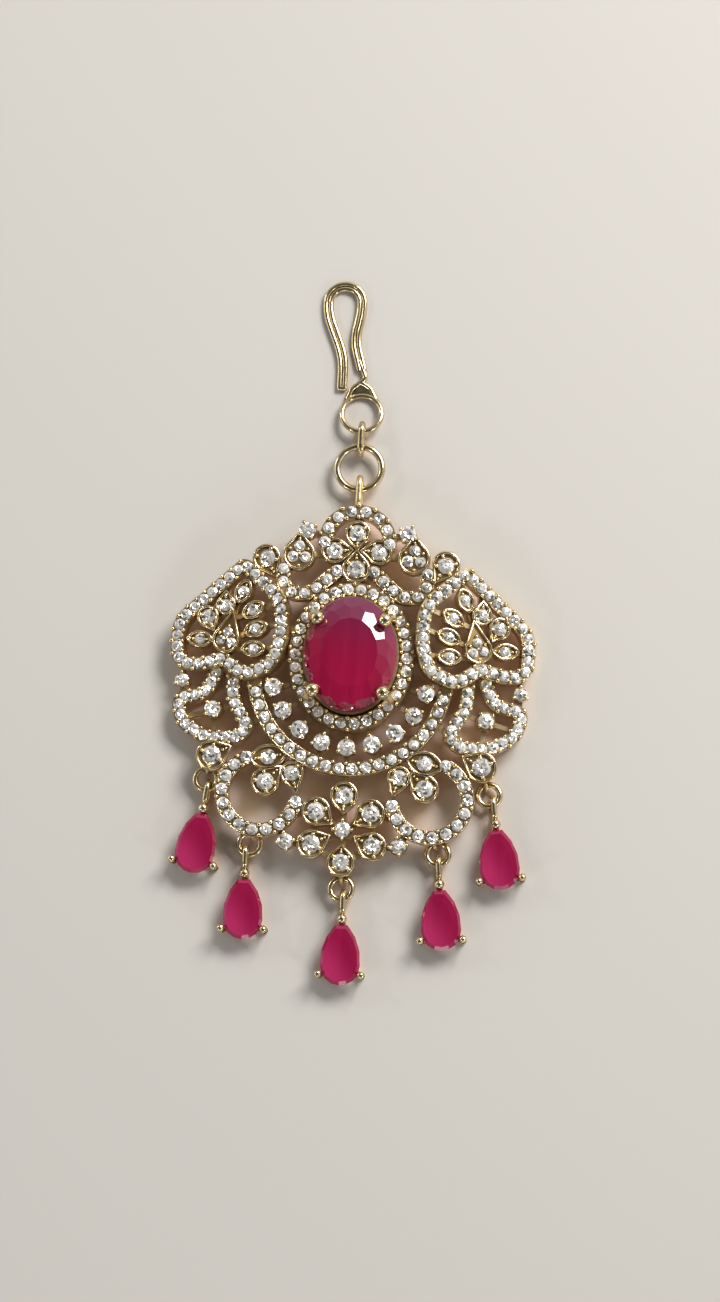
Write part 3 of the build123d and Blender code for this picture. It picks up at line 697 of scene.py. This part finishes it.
def round_seat(area, layer, x, y, stone, turns, out=0.06, prong=0.21):
    """A round stone on a seat, held by prongs at the given angles."""
    set_stone(area, layer, x, y, stone, up=0.12)
    for turn in turns:
        a = radians(turn)
        far = stone + out
        set_prong(area, layer, x + far * cos(a), y + far * sin(a), prong, 0.3, 0.9)


def pear_sides(rows):
    """Each pear petal and its mirror image."""
    for x, y, radius, tip_x, tip_y in rows:
        yield x, y, radius, tip_x, tip_y
        yield -x, y, radius, -tip_x, tip_y


def marquise_sides(rows):
    """Each marquise petal and its mirror image."""
    for x1, y1, x2, y2, width in rows:
        yield x1, y1, x2, y2, width
        yield -x1, y1, -x2, y2, width


def set_halo():
    pave("halo", HALO, ellipse(HALO_X, HALO_Y, HALO_SHIFT), 30, closed=True)
    cap = ball(3)
    for x, y in CLAW_SPOTS:
        for side in (1, -1):
            spot = ORIGIN + Vector((side * x, y, GIRDLE_Z + GIRDLE_THICK + CLAW_LIFT)) * MM
            group(beads, "claws").add(cap, Matrix.Translation(spot) @ Matrix.Scale(CLAW_CAP * MM, 4))


def set_crescent():
    pave("crescent", CRESCENT_FACE, arc(*CRESCENT), 22)
    rails("crescent", CRESCENT_FACE, arc(*CRESCENT))
    for step in range(-4, 5):
        lean = -90 + step * ROW_STEP
        x = ROW_RADIUS * cos(radians(lean))
        y = ROW_CENTRE_Y + ROW_RADIUS * sin(radians(lean))
        round_seat("crescent", ROW, x, y, ROW_STONE, (lean + 180, lean + 62, lean - 62))


def set_crown():
    pave("crown", CROWN, arc(*ARCH), 8)
    for points in both(rounded(SCROLL_ARM)):
        pave("crown", CROWN, points, 7)
        rails("crown", CROWN, points)
    for row in [*pear_sides(CROWN_PEARS), *CROWN_MID_PEARS]:
        pear_petal("crown", CROWN, row)
    for row in pear_sides([CROWN_TRIO]):
        trio_petal("crown", CROWN, row)
    for side in (1, -1):
        turns = (60, 150, 240, 330) if side > 0 else (120, 30, 300, 210)
        round_seat("crown", CROWN, side * 5.4, 13.3, 0.88, turns)


def set_wings():
    for points in both(rounded(WING_EDGE, closed=True)):
        pave("wings", WING, points, 30, closed=True)
    for row in pear_sides(WING_PEARS):
        pear_petal("wings", WING, row)
    for row in pear_sides([WING_TRIO]):
        trio_petal("wings", WING, row)
    for row in marquise_sides(WING_MARQUISES):
        marquise_petal("wings", WING, row)


def set_leaves():
    for points in both(rounded(LEAF_EDGE)):
        pave("leaves", LEAF, points, 20)
    for side in (1, -1):
        round_seat("leaves", LEAF, side * 14.65, -6.35, 0.85, (40, 130, 220, 310))
        round_seat("leaves", LEAF, side * 18.2, -3.3, 0.75, (90, 210, 330))


def set_lace():
    for points in both(arc(*SCROLL_RING)):
        pave("lace", LACE, points, 12, stone=SCROLL_STONE)
        rails("lace", LACE, points)
    for row in [*pear_sides(LACE_PEARS), *LACE_MID_PEARS]:
        pear_petal("lace", LACE, row)
    for row in marquise_sides(LACE_MARQUISES):
        marquise_petal("lace", LACE, row)
    for side in (1, -1):
        round_seat("lace", LACE, side * 6.0, -20.2, 0.85, (100, 190, 280, 10))
    round_seat("lace", LACE, 0, -18.7, 0.85, (0, 90, 180, 270), out=0.14)


for setter in (set_halo, set_crescent, set_crown, set_wings, set_leaves, set_lace):
    setter()
for area, gathered in stones.items():
    gathered.build(f"stones_{area}", "clear_stone", CLEAR, smooth=False)
for area, gathered in beads.items():
    gathered.build(f"beads_{area}", "gold", WIRE_GOLD if area == "claws" else BRIGHT_GOLD, smooth=True)
for area, gathered in plates.items():
    # the petals' floors take the darker gold of painted shade
    gathered.build(f"petal_floors_{area}", "gold", PAINTED_SHADE_PLATE_GOLD, smooth=False)


# ---------------------------------------------------------------- red stones
def varied(turns, near, far):
    """Values at angles: near where the oval's bevel is steepest, far on the other side."""
    return near + (far - near) * (0.5 - 0.5 * np.cos(turns - radians(BEVEL_STEEPEST)))


def make_oval():
    """The faceted oval: a broad table, a bevel of 16 pointed facets, girdle facets, and a pavilion. The
    bevel is steep and narrow towards the upper right, and flattens into the table on the far side."""
    girdle = GIRDLE_Z + GIRDLE_THICK
    count = 16
    half = pi / count
    top = girdle + OVAL_CROWN
    turns = np.arange(count) * 2 * half
    notch = varied(turns, *BEVEL_NOTCH)
    point = varied(turns + half, *BEVEL_POINT)
    corners = np.column_stack([np.cos(turns), np.sin(turns)])
    faced = np.column_stack([np.cos(turns + half), np.sin(turns + half)])
    slopes = varied(turns + half, *BEVEL_FALL)
    edge = OVAL_TABLE * cos(half)      # each bevel facet falls away evenly from its edge of the table
    meet = faced * slopes[:, None]
    meet = meet - np.roll(meet, 1, axis=0)
    crease = np.column_stack([meet[:, 1], -meet[:, 0]])     # where two bevel facets meet
    crease /= (crease * corners).sum(axis=1)[:, None]
    dents = corners * OVAL_TABLE + crease * (notch - OVAL_TABLE)[:, None]
    dent_heights = top - slopes * ((dents * faced).sum(axis=1) - edge)

    def oval_ring(places, height):
        x, y = places[:, 0] * STONE_X, places[:, 1] * STONE_Y + STONE_SHIFT
        return np.column_stack([x, y, np.broadcast_to(height, len(places))])

    around = ring(1, 0, 2 * count)[:, :2]
    rings = [
        oval_ring(corners * OVAL_TABLE, top),
        oval_ring(dents, dent_heights),
        oval_ring(faced * point[:, None], top - slopes * (point - edge)),
        oval_ring(around, girdle),
        oval_ring(around, GIRDLE_Z),
        oval_ring(corners * 0.6, GIRDLE_Z - 0.6 * OVAL_PAVILION),
        oval_ring(corners * OVAL_KEEL, GIRDLE_Z - OVAL_PAVILION),
    ]
    flat, dent, tip, upper, lower, deep, keel = np.cumsum([0] + [len(r) for r in rings[:-1]]).tolist()
    faces = [tuple(range(flat, flat + count)), tuple(reversed(range(keel, keel + count)))]
    for k in range(count):
        on, back = (k + 1) % count, (k - 1) % count
        faces += [
            (flat + k, dent + k, tip + k, dent + on, flat + on),
            (dent + k, tip + back, upper + 2 * k),
            (dent + k, upper + 2 * k, tip + k),
            (tip + k, upper + 2 * k, upper + 2 * k + 1),
            (tip + k, upper + 2 * k + 1, upper + (2 * k + 2) % (2 * count)),
            (lower + 2 * k, deep + k, deep + on, lower + (2 * k + 2) % (2 * count), lower + 2 * k + 1),
            (deep + k, keel + k, keel + on, deep + on),
        ]
    for k in range(2 * count):
        on = (k + 1) % (2 * count)
        faces.append((upper + k, lower + k, lower + on, upper + on))
    stone = Joined()
    stone.add((np.concatenate(rings), faces), Matrix.Translation(ORIGIN) @ Matrix.Diagonal((MM, MM, MM, 1)))
    made = stone.build("oval_stone_cut", "red_stone", RED, smooth=False)
    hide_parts("oval_stone")


def arc_through(first, between, last, steps):
    """Points along the arc that joins first and last through a point between them."""
    a, b, c = Vector(first), Vector(between), Vector(last)
    squares = Vector((a.length_squared, b.length_squared, c.length_squared))
    twice = 2 * (a.x * (b.y - c.y) + b.x * (c.y - a.y) + c.x * (a.y - b.y))
    centre = Vector((
        squares.dot(Vector((b.y - c.y, c.y - a.y, a.y - b.y))),
        squares.dot(Vector((c.x - b.x, a.x - c.x, b.x - a.x))),
    )) / twice
    out, end = a - centre, c - centre
    sweep = atan2(out.x * end.y - out.y * end.x, out.dot(end))
    turns = [sweep * k / steps for k in range(steps + 1)]
    return [tuple(centre + Matrix.Rotation(turn, 2) @ out) for turn in turns]


def make_hook_web():
    """The thin web that fills the corner between the hook's neck and its ring."""
    corners = [Vector((*corner, height)) * MM for height in WEB_HEIGHTS for corner in HOOK_WEB]
    web = Joined()
    web.add((
        np.array([tuple(ORIGIN + corner) for corner in corners]),
        [(2, 1, 0), (3, 4, 5), (0, 1, 4, 3), (1, 2, 5, 4), (2, 0, 3, 5)],
    ))
    web.build("hook_web", "gold", WIRE_GOLD, smooth=False)


def make_drops():
    """Faceted drops: table, two rows of crown facets that follow the outline, and a pavilion."""
    head_x, head_radius = DROP_HEAD
    flank = arc_through(DROP_TOP, DROP_FLANK, DROP_HEAD, 3)
    head = [(head_x + head_radius * sin(pi * k / 8), head_radius * cos(pi * k / 8)) for k in range(1, 8)]
    outline = np.array(flank + head + [(x, -y) for x, y in reversed(flank)])
    middle = np.array([DROP_MIDDLE, 0.0])
    count = len(outline)
    girdle = DROP_GIRDLE + DROP_GIRDLE_THICK
    levels = [
        (0.62, girdle + 0.60 * DROP_CROWN), (0.87, girdle + 0.49 * DROP_CROWN), (1.0, girdle),
        (1.0, DROP_GIRDLE), (0.45, DROP_GIRDLE - 0.9 * DROP_PAVILION),
    ]
    rings = []
    for scale, height in levels:
        flat = (outline - middle) * scale + middle
        rings.append(np.column_stack([flat, np.full(count, height)]))
    faces = [tuple(reversed(range(count))), tuple(range(4 * count, 5 * count))]
    for level in range(4):
        for k in range(count):
            on = (k + 1) % count
            a, b = level * count, (level + 1) * count
            faces.append((a + k, a + on, b + on, b + k))
    for number, (x, y, hang, lean) in enumerate(DROPS, start=1):
        hang, lean = radians(hang), radians(lean)
        down = Vector((sin(lean), -cos(lean), 0))
        hang_point = Vector((x + RING_RADIUS * sin(hang), y - RING_RADIUS * cos(hang), 0))
        turn = Matrix((down, Vector((0, 0, 1)).cross(down), (0, 0, 1))).transposed().to_4x4()
        stone = Joined()
        place = Matrix.Translation(ORIGIN + hang_point * MM) @ turn @ Matrix.Diagonal((MM, MM, MM, 1))
        stone.add((np.concatenate(rings), faces), place)
        made = stone.build(f"drop_stone_{number}_cut", "red_stone", PINK, smooth=False)
        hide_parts(f"drop_stone_{number}")


make_oval()
make_drops()
make_hook_web()

for name, node in nodes.items():
    node.data.materials.clear()
    gold = GOLD if name == "pendant_frame" else WIRE_GOLD
    node.data.materials.append(RED if name == "oval_stone" else PINK if "stone" in name else gold)


# ---------------------------------------------------------------- floor, light and world
FLOOR_HALF = 1.5                   # half the floor's side, in metres


def make_floor():
    """A plain pale floor, with painted warm shade and gold bounce light close under the metal."""
    mesh = bpy.data.meshes.new("floor")
    shape = bmesh.new()
    bmesh.ops.create_grid(shape, x_segments=1, y_segments=1, size=FLOOR_HALF)
    shape.to_mesh(mesh)
    shape.free()
    floor = bpy.data.objects.new("floor", mesh)
    bpy.context.scene.collection.objects.link(floor)
    material, tree, shader = new_material("pale_floor")
    # painted shade and bounce light: ambient occlusion turns the floor browner and warmer close under the
    # jewel
    shade = tree.nodes.new("ShaderNodeAmbientOcclusion")
    shade.inputs["Distance"].default_value = 5 * MM
    shade.samples = 6
    painted_warm_shade = link_ramp(tree, shade.outputs["AO"], (0.08, (0.74, 0.48, 0.37)), (0.62, (0.51, 0.498, 0.475)))
    tree.links.new(painted_warm_shade, shader.inputs["Base Color"])
    shader.inputs["Roughness"].default_value = 0.6
    mesh.materials.append(material)


def add_light(name, direction, distance, width, height, power, colour):
    """A soft box that looks at the jewel's middle."""
    data = bpy.data.lights.new(name, "AREA")
    data.shape = "RECTANGLE"
    data.size, data.size_y = width, height
    data.energy = power
    data.color = colour
    lamp = bpy.data.objects.new(name, data)
    bpy.context.scene.collection.objects.link(lamp)
    way = Vector(direction).normalized()
    lamp.location = ORIGIN + way * distance
    lamp.rotation_mode = "QUATERNION"
    lamp.rotation_quaternion = way.to_track_quat("Z", "Y")


LAMPS = [(-0.62, -0.60, 0.50), (0.70, -0.50, 0.50), (-0.75, 0.45, 0.48)]   # small lamps that make sparks


def make_light():
    """A window from the upper right, weaker soft boxes round about, and a room that is dark above."""
    add_light("window", (0.487, 0.607, 0.628), 0.7, 0.36, 0.24, 6.5, (1.0, 0.97, 0.93))
    add_light("side", (-1.0, 0.15, 0.22), 0.8, 0.5, 0.12, 0.7, (0.97, 0.98, 1.0))
    add_light("front", (0.15, -1.0, 0.30), 0.8, 0.5, 0.15, 0.7, (1.0, 0.98, 0.96))
    add_light("right", (1.0, -0.35, 0.30), 0.8, 0.4, 0.15, 0.3, (1.0, 0.98, 0.96))
    for number, direction in enumerate(LAMPS, start=1):
        add_light(f"lamp_{number}", direction, 0.8, 0.09, 0.09, 0.7, (1.0, 0.98, 0.95))
    world = bpy.data.worlds.new("world")
    bpy.context.scene.world = world
    world.use_nodes = True
    tree = world.node_tree
    background = tree.nodes["Background"]
    coords = tree.nodes.new("ShaderNodeTexCoord")
    height = tree.nodes.new("ShaderNodeSeparateXYZ")
    tree.links.new(coords.outputs["Generated"], height.inputs["Vector"])
    above = link_ramp(
        tree, height.outputs["Z"],
        (0.0, (1.0, 0.97, 0.93)), (0.72, (0.70, 0.68, 0.65)), (0.95, (0.18, 0.17, 0.165)),
    )
    towards = tree.nodes.new("ShaderNodeVectorMath")
    towards.operation = "DOT_PRODUCT"
    towards.inputs[1].default_value = (0.50, 0.80, 0.0)
    tree.links.new(coords.outputs["Generated"], towards.inputs[0])
    sides = link_ramp(
        tree, towards.outputs["Value"], (0.0, (0.42, 0.41, 0.40)), (0.7, (1.0, 1.0, 1.0))
    )
    tree.links.new(link_product(tree, above, sides), background.inputs["Color"])
    background.inputs["Strength"].default_value = 0.8


make_floor()
make_light()
make_camera()
bpy.context.scene.view_settings.view_transform = "Standard"
